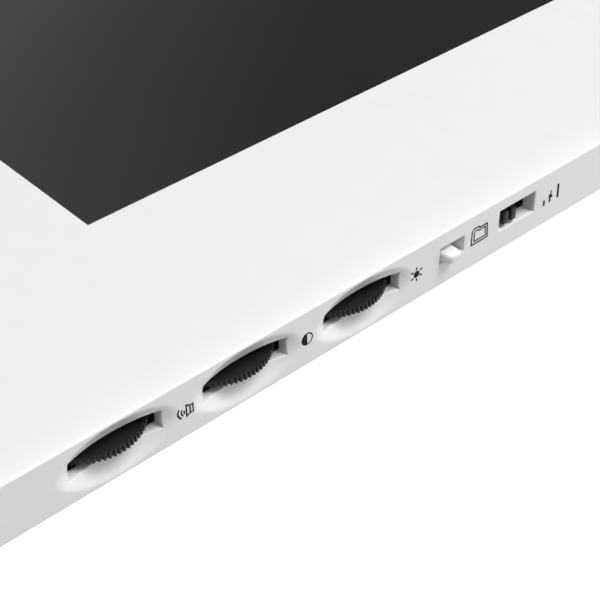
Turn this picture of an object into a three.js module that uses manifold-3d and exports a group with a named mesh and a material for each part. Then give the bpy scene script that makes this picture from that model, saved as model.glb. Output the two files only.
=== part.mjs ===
// Indoor video intercom monitor, lying on its back.
// Millimetres. Origin at the centre of the wall face, +X to the right in front view,
// +Y up the wall, +Z out of the wall. The controls are on the lower (-Y) side.
import * as THREE from 'three';
import { mergeVertices } from 'three/addons/utils/BufferGeometryUtils.js';
import Module from 'manifold-3d';

const wasm = await Module();
wasm.setup();

// ---------------------------------------------------------------- dimensions
const WIDTH = 250, HEIGHT = 165, CORNER_R = 6;      // front housing outline
const RIM_Z = 13.8, EDGE_Z = 23.0, FACE_Z = 23.7;     // lower rim, side top edge, front face
const ROLL = 5;                                      // width of the rounded front border
const SIDE_WALL = 2.2, CONTROL_WALL = 3.0;           // wall thicknesses
const INNER_Z = 21.2;                                // inside of the front wall
const SIDE_Y = -HEIGHT / 2;                          // plane of the control side
const CAV_X = WIDTH / 2 - SIDE_WALL;                 // cavity half width
const CAV_Y0 = SIDE_Y + CONTROL_WALL, CAV_Y1 = HEIGHT / 2 - SIDE_WALL;

const LENS = { x0: -74.5, x1: 89.5, y0: -47.7, y1: 48.3, t: 1.6 };
const LENS_GAP = 0.2, LEDGE = 4.8;
const LENS_CX = (LENS.x0 + LENS.x1) / 2, LENS_CY = (LENS.y0 + LENS.y1) / 2;
const LENS_W = LENS.x1 - LENS.x0, LENS_H = LENS.y1 - LENS.y0;

const SLOT_X = -103, SLOT_PITCH = 21, SLOT_W = 14.25, SLOT_OFF = 0.45;   // thumbwheel slots
const SLOT_Z0 = 17.15, SLOT_Z1 = 20.25;
const SCOOP = { dx: 7.5, z: 18.6, a: 8.9, c: 4.2, depth: 1.6, radius: 3.2 };   // oval finger scoops: rim half axes, depth, depth radius of the ellipsoid
const WHEEL = { dx: 7.55, y: SIDE_Y + 7.5, r: 8.2, z0: 18.2, z1: 19.2, bore: 2.5 };
const REBATE = { y: SIDE_Y + 2.2, grow: 1.0, top: 21.05 };   // step cut into the back of the control wall round the wheel and switch openings

const BUTTON = { x0: -38.6, x1: -33.65, z0: 17.85, z1: 20.55, px0: -38.4, px1: -35.6, pz0: 18.0, pz1: 19.75, proud: 1.5, travel: 1.0 };
const SWITCH = { x0: -26.1, x1: -18.3, z0: 17.5, z1: 21.15, off: 1.1, knob: 2.8, travel: 3.4 };

const KEY = { x: 107.2, w: 20, h: 14, r: 2, top: 24.2, ys: [25, 0, -25], gap: 0.3 };
const LED_Y = 46, MIC_Y = -62;
const SPK = { x: -97.5, y: 0, r: 18 };

const BOX = { w: 226, h: 141, r: 8, wall: 2.2, flange: 1.4 };          // rear cover
const RECESS = { w: 150, h: 104, d: 3.2 };
const CABLE = { w: 60, h: 30, y: 5 };
const HOOK = { x: 55, ys: [34, -42], w: 10, t: 1.2 };
const BOARD = { x0: -80, x1: 100, y0: -55, y1: 55, z: 8.0, t: 1.6 };
const CTRL = { x0: -112, x1: -8, y0: -79.2, y1: -61, z: 15.9, t: 1.2 };
const LCD = { w: 166, h: 104, z0: 14.9, z1: 19.9, wall: 0.8 };

const HOUSING_SCREWS = [[-117.5, -75.2], [117.5, -75.2], [-117.5, 76], [117.5, 76]];
const BOARD_SCREWS = [[-75, -50], [95, -50], [-75, 50], [95, 50]];
const LCD_SCREWS = [[-52.5, -55.2], [67.5, -55.2], [-52.5, 55.8], [67.5, 55.8]];
const CTRL_SCREWS = [[-85, -64.5], [-12, -65]];
const KEY_SCREWS = [[107.2, -40], [107.2, 56]];

// ---------------------------------------------------------------- materials
const mat = (color, roughness, metalness = 0) => new THREE.MeshStandardMaterial({ color, roughness, metalness });
const M = {
  white: mat(0xf1f1f0, 0.42), whiteBack: mat(0xe9e9e7, 0.55), lens: mat(0x2b2c2e, 0.08),
  black: mat(0x1b1b1c, 0.45), foam: mat(0x262628, 0.95), lcd: mat(0x1a1d22, 0.25),
  steel: mat(0xb9bbbd, 0.35, 0.9), screw: mat(0x9fa1a3, 0.35, 0.9), pcb: mat(0x1f5d3a, 0.5),
  silicone: mat(0xc9cac8, 0.8), chip: mat(0x242426, 0.5), pcbDark: mat(0x1c1e1f, 0.5), can: mat(0xa9abad, 0.3, 0.9),
  cone: mat(0x2c2a28, 0.9), magnet: mat(0x3a3a3d, 0.6, 0.4), terminal: mat(0x2f7a4a, 0.5),
  ribbon: mat(0xb98a45, 0.5), clear: mat(0xdfe6ea, 0.15), led: mat(0xe8e4cf, 0.4),
};

// ---------------------------------------------------------------- helpers
function solid(geometry) {
  let g = geometry.clone();
  for (const k of Object.keys(g.attributes)) if (k !== 'position') g.deleteAttribute(k);
  g = mergeVertices(g, 1e-4);
  const idx = g.index.array, pos = g.attributes.position.array, tri = [];
  let vol = 0;
  for (let i = 0; i < idx.length; i += 3) {
    const [a, b, c] = [idx[i], idx[i + 1], idx[i + 2]];
    if (a === b || b === c || a === c) continue;
    tri.push(a, b, c);
    const [ax, ay, az, bx, by, bz, cx, cy, cz] = [a, b, c].flatMap((k) => [pos[3 * k], pos[3 * k + 1], pos[3 * k + 2]]);
    vol += ax * (by * cz - bz * cy) - ay * (bx * cz - bz * cx) + az * (bx * cy - by * cx);
  }
  if (vol < 0) for (let i = 0; i < tri.length; i += 3) [tri[i + 1], tri[i + 2]] = [tri[i + 2], tri[i + 1]];
  return new wasm.Manifold(new wasm.Mesh({ numProp: 3, vertProperties: new Float32Array(pos), triVerts: new Uint32Array(tri) }));
}
function geometryOf(manifold) {
  const m = manifold.getMesh(), g = new THREE.BufferGeometry();
  g.setAttribute('position', new THREE.BufferAttribute(new Float32Array(m.vertProperties), 3));
  g.setIndex(new THREE.BufferAttribute(new Uint32Array(m.triVerts), 1));
  const flat = g.toNonIndexed();
  flat.computeVertexNormals();
  return flat;
}
const union = (list) => list.reduce((a, b) => a.add(b));
const cut = (body, list) => list.reduce((a, b) => a.subtract(b), body);

function roundRect(cx, cy, w, h, r) {
  const s = new THREE.Shape(), x0 = cx - w / 2, x1 = cx + w / 2, y0 = cy - h / 2, y1 = cy + h / 2;
  s.moveTo(x0 + r, y0); s.lineTo(x1 - r, y0); s.absarc(x1 - r, y0 + r, r, -Math.PI / 2, 0);
  s.lineTo(x1, y1 - r); s.absarc(x1 - r, y1 - r, r, 0, Math.PI / 2);
  s.lineTo(x0 + r, y1); s.absarc(x0 + r, y1 - r, r, Math.PI / 2, Math.PI);
  s.lineTo(x0, y0 + r); s.absarc(x0 + r, y0 + r, r, Math.PI, 1.5 * Math.PI);
  return s;
}
// flat plate of a shape between two heights
function plate(shape, z0, z1, curveSegments = 3) {
  const g = new THREE.ExtrudeGeometry(shape, { depth: z1 - z0, bevelEnabled: false, curveSegments });
  return solid(g.translate(0, 0, z0));
}
function box(x0, x1, y0, y1, z0, z1) {
  return solid(new THREE.BoxGeometry(x1 - x0, y1 - y0, z1 - z0).translate((x0 + x1) / 2, (y0 + y1) / 2, (z0 + z1) / 2));
}
function rod(x, y, r, z0, z1, seg = 12) {
  return solid(new THREE.CylinderGeometry(r, r, z1 - z0, seg).rotateX(Math.PI / 2).translate(x, y, (z0 + z1) / 2));
}
// body of revolution about a vertical axis; profile is a list of [radius, z]
function turned(x, y, profile, seg = 16) {
  const pts = profile.map(([r, z]) => new THREE.Vector2(r, z));
  return solid(new THREE.LatheGeometry(pts, seg).rotateX(Math.PI / 2).translate(x, y, 0));
}
// flat strip that follows a path in a plane and is extruded across it
function strip(path, t, w0, w1, plane) {
  const left = [], right = [];
  for (let i = 0; i < path.length; i++) {
    const a = path[Math.max(0, i - 1)], b = path[Math.min(path.length - 1, i + 1)];
    const d = new THREE.Vector2(b[0] - a[0], b[1] - a[1]).normalize();
    left.push(new THREE.Vector2(path[i][0] - d.y * t / 2, path[i][1] + d.x * t / 2));
    right.push(new THREE.Vector2(path[i][0] + d.y * t / 2, path[i][1] - d.x * t / 2));
  }
  const g = new THREE.ExtrudeGeometry(new THREE.Shape([...left, ...right.reverse()]), { depth: w1 - w0, bevelEnabled: false });
  if (plane === 'YZ') g.applyMatrix4(new THREE.Matrix4().set(0, 0, 1, w0, 1, 0, 0, 0, 0, 1, 0, 0, 0, 0, 0, 1));
  else g.applyMatrix4(new THREE.Matrix4().set(1, 0, 0, 0, 0, 0, -1, w1, 0, 1, 0, 0, 0, 0, 0, 1));
  return solid(g);
}
// pan-head screw; dir +1 points the shank up, -1 down; z is the seat of the head
function screw(x, y, z, length, dir, head = 2.5, shank = 1.1) {
  const p = [[0, -1.5], [head * 0.8, -1.5], [head, -0.9], [head, 0], [shank, 0], [shank, length], [0, length]];
  return turned(x, y, p.map(([r, h]) => [r, z + dir * h]), 8);
}

const group = new THREE.Group();
function add(name, manifold, material) {
  const mesh = new THREE.Mesh(geometryOf(manifold), material);
  mesh.name = name;
  group.add(mesh);
  return mesh;
}

// ---------------------------------------------------------------- front housing
const wheelX = [0, 1, 2].map((i) => SLOT_X + i * SLOT_PITCH + WHEEL.dx);
{
  const inner = roundRect(0, 0, WIDTH - 2 * ROLL, HEIGHT - 2 * ROLL, CORNER_R - ROLL);
  let body = solid(new THREE.ExtrudeGeometry(inner, {
    depth: EDGE_Z - 8, bevelEnabled: true, bevelSize: ROLL, bevelThickness: FACE_Z - EDGE_Z, bevelSegments: 3, curveSegments: 4,
  }).translate(0, 0, 8));
  body = body.subtract(box(-200, 200, -200, 200, 0, RIM_Z));
  const cavH = CAV_Y1 - CAV_Y0, cavY = (CAV_Y0 + CAV_Y1) / 2;
  body = body.subtract(plate(roundRect(0, cavY, 2 * CAV_X, cavH, 3.6), RIM_Z - 1, INNER_Z));
  // ledge below the window and bosses on the inside of the front wall
  const adds = [box(LENS.x0 - 3, LENS.x1 + 3, LENS.y0 - 3, LENS.y1 + 3, INNER_Z - 1, INNER_Z + 0.5)];
  for (const [x, y] of HOUSING_SCREWS) adds.push(rod(x, y, 3.2, 15.7, INNER_Z + 0.5, 10));
  for (const [x, y] of LCD_SCREWS) adds.push(rod(x, y, 2.8, 17.4, INNER_Z + 0.5, 10));
  for (const [x, y] of [...CTRL_SCREWS, ...KEY_SCREWS]) adds.push(rod(x, y, 2.8, 17.4, INNER_Z + 0.5, 10));
  adds.push(rod(SPK.x, SPK.y, SPK.r + 1.9, 18.4, INNER_Z + 0.5, 24).subtract(rod(SPK.x, SPK.y, SPK.r + 0.4, 18, INNER_Z, 24)));
  adds.push(rod(KEY.x, MIC_Y, 6.1, 17.4, INNER_Z + 0.5, 16).subtract(rod(KEY.x, MIC_Y, 4.9, 17, INNER_Z, 16)));
  body = union([body, ...adds]);
  const cuts = [
    box(LENS.x0 - LENS_GAP, LENS.x1 + LENS_GAP, LENS.y0 - LENS_GAP, LENS.y1 + LENS_GAP, FACE_Z - LENS.t - 0.6, 30),
    box(LENS.x0 + LEDGE, LENS.x1 - LEDGE, LENS.y0 + LEDGE, LENS.y1 - LEDGE, 15, 30),
  ];
  for (let i = 0; i < 3; i++) {
    const x = SLOT_X + i * SLOT_PITCH;
    const { a, c, depth, radius } = SCOOP, grow = 1 / Math.sqrt(1 - ((radius - depth) / radius) ** 2);
    cuts.push(solid(new THREE.SphereGeometry(1, 28, 16).scale(a * grow, radius, c * grow).translate(x + SCOOP.dx, SIDE_Y - radius + depth, SCOOP.z)));
    cuts.push(box(x + SLOT_OFF, x + SLOT_OFF + SLOT_W, SIDE_Y - 3, CAV_Y0 + 1, SLOT_Z0, SLOT_Z1));
    cuts.push(box(x + SLOT_OFF - REBATE.grow, x + SLOT_OFF + SLOT_W + REBATE.grow, REBATE.y, CAV_Y0 + 1, SLOT_Z0 - REBATE.grow, REBATE.top));
  }
  cuts.push(box(BUTTON.x0, BUTTON.x1, SIDE_Y - 2, CAV_Y0 + 1, BUTTON.z0, BUTTON.z1));
  cuts.push(box(SWITCH.x0, SWITCH.x1, SIDE_Y - 2, CAV_Y0 + 1, SWITCH.z0, SWITCH.z1));
  cuts.push(box(SWITCH.x0 - REBATE.grow, SWITCH.x1 + REBATE.grow, REBATE.y, CAV_Y0 + 1, SWITCH.z0 - REBATE.grow, REBATE.top));
  for (const y of KEY.ys) cuts.push(plate(roundRect(KEY.x, y, KEY.w + 2 * KEY.gap, KEY.h + 2 * KEY.gap, KEY.r + KEY.gap), INNER_Z - 1, 30, 3));
  cuts.push(rod(KEY.x, LED_Y, 1.75, INNER_Z - 1, 30, 12), rod(KEY.x, MIC_Y, 0.8, INNER_Z - 1, 30, 8));
  for (const [x, y] of HOUSING_SCREWS) cuts.push(rod(x, y, 1.35, 15, 21.0, 8));
  for (const [x, y] of [...LCD_SCREWS, ...CTRL_SCREWS, ...KEY_SCREWS]) cuts.push(rod(x, y, 1.35, 17, 21.1, 8));
  // speaker grille: seven rounded slots inside a circle
  for (let i = -3; i <= 3; i++) {
    const y = SPK.y + i * 4, len = 2 * Math.sqrt(15 ** 2 - (i * 4) ** 2);
    cuts.push(plate(roundRect(SPK.x, y, len, 1.6, 0.79), INNER_Z - 0.5, 30, 2));
  }
  add('front_housing', cut(body, cuts), M.white);
}

// ---------------------------------------------------------------- window and display
add('screen_lens', box(LENS.x0, LENS.x1, LENS.y0, LENS.y1, FACE_Z - LENS.t, FACE_Z), M.lens);
add('lens_gasket', cut(box(LENS.x0 + 0.3, LENS.x1 - 0.3, LENS.y0 + 0.3, LENS.y1 - 0.3, FACE_Z - LENS.t - 0.5, FACE_Z - LENS.t - 0.1),
  [box(LENS.x0 + LEDGE - 0.3, LENS.x1 - LEDGE + 0.3, LENS.y0 + LEDGE - 0.3, LENS.y1 - LEDGE + 0.3, 15, 30)]), M.foam);
{
  const x0 = LENS_CX - LCD.w / 2, x1 = LENS_CX + LCD.w / 2, y0 = LENS_CY - LCD.h / 2, y1 = LENS_CY + LCD.h / 2, t = LCD.wall;
  let tray = box(x0, x1, y0, y1, LCD.z0, LCD.z1).subtract(box(x0 + t, x1 - t, y0 + t, y1 - t, LCD.z0 + 0.7, 30));
  for (const [x, y] of LCD_SCREWS) {
    const inner = y < 0 ? y0 + 0.4 : y1 - 0.4, outer = y < 0 ? y - 3 : y + 3;
    tray = tray.add(box(x - 4, x + 4, Math.min(inner, outer), Math.max(inner, outer), 16.4, 17.1));
  }
  tray = cut(tray, LCD_SCREWS.map(([x, y]) => rod(x, y, 1.4, 16, 18, 8)));
  add('lcd_frame', tray, M.steel);
  add('lcd_panel', box(x0 + t + 0.3, x1 - t - 0.3, y0 + t + 0.3, y1 - t - 0.3, LCD.z0 + 1.0, LCD.z1), M.lcd);
}

// ---------------------------------------------------------------- rear cover and wall bracket
{
  const flangeH = CAV_Y1 - CAV_Y0 - 0.6, flangeY = (CAV_Y0 + CAV_Y1) / 2;
  let body = plate(roundRect(0, 0, BOX.w, BOX.h, BOX.r), 0, RIM_Z + BOX.flange, 4);
  body = body.add(plate(roundRect(0, flangeY, 2 * CAV_X - 0.6, flangeH, 3.3), RIM_Z, RIM_Z + BOX.flange));
  body = body.subtract(plate(roundRect(0, 0, BOX.w - 2 * BOX.wall, BOX.h - 2 * BOX.wall, BOX.r - BOX.wall), BOX.wall, 30, 4));
  body = body.add(box(-RECESS.w / 2 - 2.2, RECESS.w / 2 + 2.2, -RECESS.h / 2 - 2.2, RECESS.h / 2 + 2.2, 1, RECESS.d + 2.2));
  for (const [x, y] of BOARD_SCREWS) body = body.add(rod(x, y, 3, 1.5, BOARD.z - 0.2, 10));
  const cuts = [
    box(-RECESS.w / 2, RECESS.w / 2, -RECESS.h / 2, RECESS.h / 2, -1, RECESS.d),
    box(-CABLE.w / 2, CABLE.w / 2, CABLE.y - CABLE.h / 2, CABLE.y + CABLE.h / 2, -1, 7),
  ];
  for (const y of HOOK.ys) for (const s of [-1, 1]) cuts.push(box(s * HOOK.x - 6.3, s * HOOK.x + 6.3, y - 5, y + HOOK.t + 0.3, 1, 7));
  for (const [x, y] of BOARD_SCREWS) cuts.push(rod(x, y, 1.35, 3.4, 9, 8));
  for (const [x, y] of HOUSING_SCREWS) cuts.push(rod(x, y, 1.5, 12, 17, 8));
  // cooling slots through the upper and lower walls of the box
  for (let i = 0; i < 9; i++) {
    const x = -64 + i * 16;
    for (const s of [-1, 1]) cuts.push(box(x - 5, x + 5, s > 0 ? BOX.h / 2 - 4 : -BOX.h / 2 - 1, s > 0 ? BOX.h / 2 + 1 : -BOX.h / 2 + 4, 8, 10));
  }
  add('rear_cover', cut(body, cuts), M.whiteBack);
}
{
  let b = plate(roundRect(0, 0, 144, 98, 4), 0, 1.2, 4);
  b = b.subtract(box(-33, 33, -14, 24, -1, 3));
  for (const y of HOOK.ys) for (const s of [-1, 1]) {
    b = b.add(box(s * HOOK.x - HOOK.w / 2, s * HOOK.x + HOOK.w / 2, y, y + HOOK.t, 0.3, 6.9));
    b = b.add(box(s * HOOK.x - HOOK.w / 2, s * HOOK.x + HOOK.w / 2, y, y + 4, 5.7, 6.9));
  }
  const slots = [[0, 41.75, 5, 10], [0, -41.75, 5, 10], [-60, 0, 12, 5], [60, 0, 12, 5]];
  b = cut(b, slots.map(([x, y, w, h]) => plate(roundRect(x, y, w, h, 2.45), -1, 3, 3)));
  add('wall_bracket', b, M.steel);
}

// ---------------------------------------------------------------- main board
{
  let pcb = box(BOARD.x0, BOARD.x1, BOARD.y0, BOARD.y1, BOARD.z, BOARD.z + BOARD.t);
  add('main_board', cut(pcb, BOARD_SCREWS.map(([x, y]) => rod(x, y, 1.4, 7, 11, 8))), M.pcb);
  const top = BOARD.z + BOARD.t + 0.1;
  add('video_chip', box(20, 34, 10, 24, top, top + 1.4), M.chip);
  add('audio_chip', box(-62, -52, -12, -6, top, top + 1.5), M.chip);
  add('capacitor_1', turned(-60, 20, [[0, top], [4, top], [4, top + 4.1], [3.6, top + 4.4], [0, top + 4.4]], 12), M.can);
  add('capacitor_2', turned(-48, 20, [[0, top], [4, top], [4, top + 4.1], [3.6, top + 4.4], [0, top + 4.4]], 12), M.can);
  const block = (x0, n) => {
    let b = box(x0, x0 + 5 * n, 8.5, 18, 1.7, BOARD.z - 0.2);
    for (let i = 0; i < n; i++) {
      b = b.subtract(box(x0 + 5 * i + 0.9, x0 + 5 * i + 4.1, 6, 13, 3.6, 6.8));
      b = b.subtract(rod(x0 + 5 * i + 2.5, 14.6, 1.6, 1, 3.2, 8));
    }
    return b;
  };
  add('line_terminal_block', block(-26, 4), M.terminal);
  add('power_terminal_block', block(6, 2), M.terminal);
}

// ---------------------------------------------------------------- control board and its controls
const ctrlTop = CTRL.z + CTRL.t;
add('control_board', cut(box(CTRL.x0, CTRL.x1, CTRL.y0, CTRL.y1, CTRL.z, ctrlTop), CTRL_SCREWS.map(([x, y]) => rod(x, y, 1.4, 15, 18, 8))), M.pcbDark);
['volume', 'contrast', 'brightness'].forEach((name, i) => {
  const x = wheelX[i];
  add(`${name}_pot`, box(x - 8.4, x + 8.4, CTRL.y0 + 0.1, WHEEL.y + 7.5, ctrlTop + 0.1, WHEEL.z0 - 0.25).add(rod(x, WHEEL.y, WHEEL.bore - 0.3, ctrlTop + 0.1, WHEEL.z1, 16)), M.black);
  add(`${name}_wheel`, rod(x, WHEEL.y, WHEEL.r, WHEEL.z0, WHEEL.z1, 48).subtract(rod(x, WHEEL.y, WHEEL.bore, 15, 25, 16)), M.black);
});
{
  const { x0, x1, px0, px1, pz0, pz1, proud, travel } = BUTTON, back = CAV_Y0 + 0.3;
  const cap = box(px0, px1, SIDE_Y - proud, back + 0.5, pz0, pz1);
  const collar = box(x0 - 1.4, x1 + 1.4, back, back + 1, 17.5, 20.8);
  const stem = box(x0 + 1.2, x1 - 1.2, back + 0.5, back + 2.6, 18.4, 20.2);
  add('side_button', union([cap, collar, stem]), M.white);
  const face = back + 2.6 + travel + 0.2;
  add('side_button_switch', box(x0 - 0.6, x1 + 0.6, face + 0.9, face + 5, ctrlTop + 0.1, 20.8).add(box(x0 + 1.4, x1 - 1.4, face, face + 1.5, 18.5, 20.1)), M.black);
}
{
  const { x0, x1, z0, z1, knob } = SWITCH, front = CAV_Y0 + 0.3;
  const k0 = x0 + SWITCH.off, k1 = k0 + knob, mid = (k0 + k1) / 2;
  let lever = box(k0, k1, SIDE_Y + 0.1, front - 0.3, 18.1, 20.2);
  lever = lever.subtract(box(mid - 0.27, mid + 0.27, SIDE_Y - 1, SIDE_Y + 1.2, 18, 21));
  lever = lever.add(box(mid - 1, mid + 1, front - 1, front + 1.4, 18.7, 20.1));
  add('ring_level_slider', lever, M.black);
  let sw = box(x0 - 2.8, x1 + 2.8, front, front + 6.4, ctrlTop + 0.1, 20.9);
  sw = sw.subtract(box(x0, x1 + 0.2, front - 1, front + 1.7, 18.4, 20.4));
  add('slide_switch_body', sw, M.black);
}

// ---------------------------------------------------------------- keys, LED, microphone
const KB = { x0: 94.5, x1: 121, y0: -45, y1: 60 };
add('key_board', cut(box(KB.x0, KB.x1, KB.y0, KB.y1, CTRL.z, ctrlTop), KEY_SCREWS.map(([x, y]) => rod(x, y, 1.4, 15, 18, 8))), M.pcb);
add('key_pad', plate(roundRect(KEY.x, 0, 23, 66, 2), ctrlTop + 0.1, ctrlTop + 0.9), M.silicone);
['unlock_key', 'talk_key', 'monitor_key'].forEach((name, i) => {
  const y = KEY.ys[i];
  const cap = plate(roundRect(KEY.x, y, KEY.w, KEY.h, KEY.r), 18.8, KEY.top, 3);
  const skirt = plate(roundRect(KEY.x, y, KEY.w + 2, KEY.h + 2, KEY.r + 1), 19.6, 20.8, 3);
  add(name, cap.add(skirt), M.white);
});
add('status_led', box(KEY.x - 1.6, KEY.x + 1.6, LED_Y - 1.1, LED_Y + 1.1, ctrlTop + 0.1, 18.2), M.led);
add('led_light_pipe', turned(KEY.x, LED_Y, [[0, 18.5], [2.4, 18.5], [2.4, 20.9], [1.5, 20.9], [1.5, FACE_Z], [0, FACE_Z]], 12), M.clear);
add('microphone_boot', turned(KEY.x, MIC_Y, [[0, 15.9], [4.6, 15.9], [4.6, 20.9], [3.3, 20.9], [3.3, 17], [0, 17]], 12), M.foam);
add('microphone', turned(KEY.x, MIC_Y, [[0, 17.2], [3, 17.2], [3, 20.6], [2.7, 20.8], [0, 20.8]], 12), M.can);

// ---------------------------------------------------------------- loudspeaker
add('speaker_gasket', turned(SPK.x, SPK.y, [[15, 20.5], [17.9, 20.5], [17.9, 21.0], [15, 21.0], [15, 20.5]], 20), M.foam);
add('speaker_basket', turned(SPK.x, SPK.y, [[14.9, 20.3], [14.9, 19.7], [14.2, 19.4], [11.4, 16.4], [5, 16.4], [5, 15.6], [12.2, 15.6], [15.2, 18.9], [17.9, 19.5], [17.9, 20.3], [14.9, 20.3]], 20), M.steel);
add('speaker_cone', turned(SPK.x, SPK.y, [[0, 18.3], [3.6, 17.4], [5.0, 17.2], [13.9, 20.0], [13.6, 20.3], [5.0, 17.7], [3.6, 17.9], [0, 18.8]], 16), M.cone);
add('speaker_magnet', turned(SPK.x, SPK.y, [[0, 9.5], [10.5, 9.5], [11, 10], [11, 15.3], [0, 15.3]], 16), M.magnet);

// ---------------------------------------------------------------- ribbons
add('lcd_ribbon', strip([[-35, 9.95], [-50, 9.95], [-53.6, 11.4], [-54.6, 13.5], [-54.6, 15.2], [-53.4, 16.2], [-52.1, 16.4]], 0.3, -10, 30, 'YZ'), M.ribbon);
add('control_ribbon', strip([[-46, 9.95], [-56, 9.95], [-59.6, 11.2], [-60.4, 13.4], [-61.6, 15.0], [-64, 15.55], [-67, 15.55]], 0.3, -66, -54, 'YZ'), M.ribbon);
add('key_ribbon', strip([[90, 9.95], [101, 9.95], [104, 11.4], [105, 13.4], [106.2, 15.0], [107.5, 15.55], [109.8, 15.55]], 0.3, -6, 6, 'XZ'), M.ribbon);

// ---------------------------------------------------------------- screws
HOUSING_SCREWS.forEach(([x, y], i) => add(`housing_screw_${i + 1}`, screw(x, y, RIM_Z - 0.1, 6.5, 1), M.screw));
LCD_SCREWS.forEach(([x, y], i) => add(`lcd_screw_${i + 1}`, screw(x, y, 16.3, 4.4, 1), M.screw));
BOARD_SCREWS.forEach(([x, y], i) => add(`board_screw_${i + 1}`, screw(x, y, BOARD.z + BOARD.t + 0.1, 6.0, -1), M.screw));
CTRL_SCREWS.forEach(([x, y], i) => add(`control_board_screw_${i + 1}`, screw(x, y, CTRL.z - 0.1, 4.8, 1, 2.2), M.screw));
KEY_SCREWS.forEach(([x, y], i) => add(`key_board_screw_${i + 1}`, screw(x, y, CTRL.z - 0.1, 4.8, 1, 2.2), M.screw));

export default group;
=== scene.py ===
import math

import bmesh
import bpy
import numpy as np
from mathutils import Matrix, Vector
from mathutils.geometry import delaunay_2d_cdt


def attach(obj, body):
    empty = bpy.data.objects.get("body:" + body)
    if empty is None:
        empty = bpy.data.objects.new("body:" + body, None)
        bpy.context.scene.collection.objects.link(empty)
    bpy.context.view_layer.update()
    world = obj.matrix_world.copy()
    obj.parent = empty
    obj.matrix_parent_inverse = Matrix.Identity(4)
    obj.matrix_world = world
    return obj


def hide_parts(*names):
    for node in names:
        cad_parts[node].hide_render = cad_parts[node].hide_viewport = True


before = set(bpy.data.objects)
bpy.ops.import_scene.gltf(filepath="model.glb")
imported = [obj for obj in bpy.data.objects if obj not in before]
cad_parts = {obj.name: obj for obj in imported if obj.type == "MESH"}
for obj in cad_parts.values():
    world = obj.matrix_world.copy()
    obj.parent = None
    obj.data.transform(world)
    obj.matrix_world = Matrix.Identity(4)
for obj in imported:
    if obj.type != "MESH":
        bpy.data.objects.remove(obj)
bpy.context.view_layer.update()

S = 0.001  # all shapes below are in millimetres, in the frame of the CAD part

# ------------------------------------------------------------------ dimensions
HX, HY, CR = 125.0, 82.5, 6.0
RIM_Z, EDGE_Z, FACE_Z, ROLL, INNER_Z = 13.8, 23.0, 23.7, 5.0, 21.2
SIDE_Y, CAV_X, CAV_Y0, CAV_Y1, CAV_R = -82.5, 122.8, -79.5, 80.3, 3.6
LENS = dict(x0=-74.5, x1=89.5, y0=-47.7, y1=48.3, t=1.6)
LEDGE = 4.8
SLOT_X, PITCH, SLOT_W, SLOT_OFF, SLOT_Z0, SLOT_Z1 = -103.0, 21.0, 14.25, 0.45, 17.15, 20.25
SCOOP = dict(dx=7.5, z=18.6, a=8.75, c=4.1, depth=1.6, radius=3.2)
WHEEL = dict(dx=7.55, y=-75.0, r=8.2, z0=18.2, z1=19.2, bore=2.5, teeth=72)
BUTTON = dict(x0=-38.6, x1=-33.65, z0=17.85, z1=20.55, px0=-38.4, px1=-35.6, pz0=18.0, pz1=19.75, proud=1.5)
SWITCH = dict(x0=-26.1, x1=-18.3, z0=17.5, z1=21.15, off=1.1, knob=2.8)
REBATE = dict(y=-80.3, grow=1.0, top=21.05)
KEY = dict(x=107.2, w=20.0, h=14.0, r=2.0, top=24.2, ys=(25.0, 0.0, -25.0), gap=0.3)
LED_Y, MIC_Y = 46.0, -62.0
SPK = dict(x=-97.5, y=0.0, r=18.0)
HOUSING_SCREWS = [(-117.5, -75.2), (117.5, -75.2), (-117.5, 76.0), (117.5, 76.0)]
BOARD_SCREWS = [(-75, -50), (95, -50), (-75, 50), (95, 50)]
LCD_SCREWS = [(-52.5, -55.2), (67.5, -55.2), (-52.5, 55.8), (67.5, 55.8)]
CTRL_SCREWS = [(-85, -64.5), (-12, -65)]
KEY_SCREWS = [(107.2, -40), (107.2, 56)]


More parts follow.
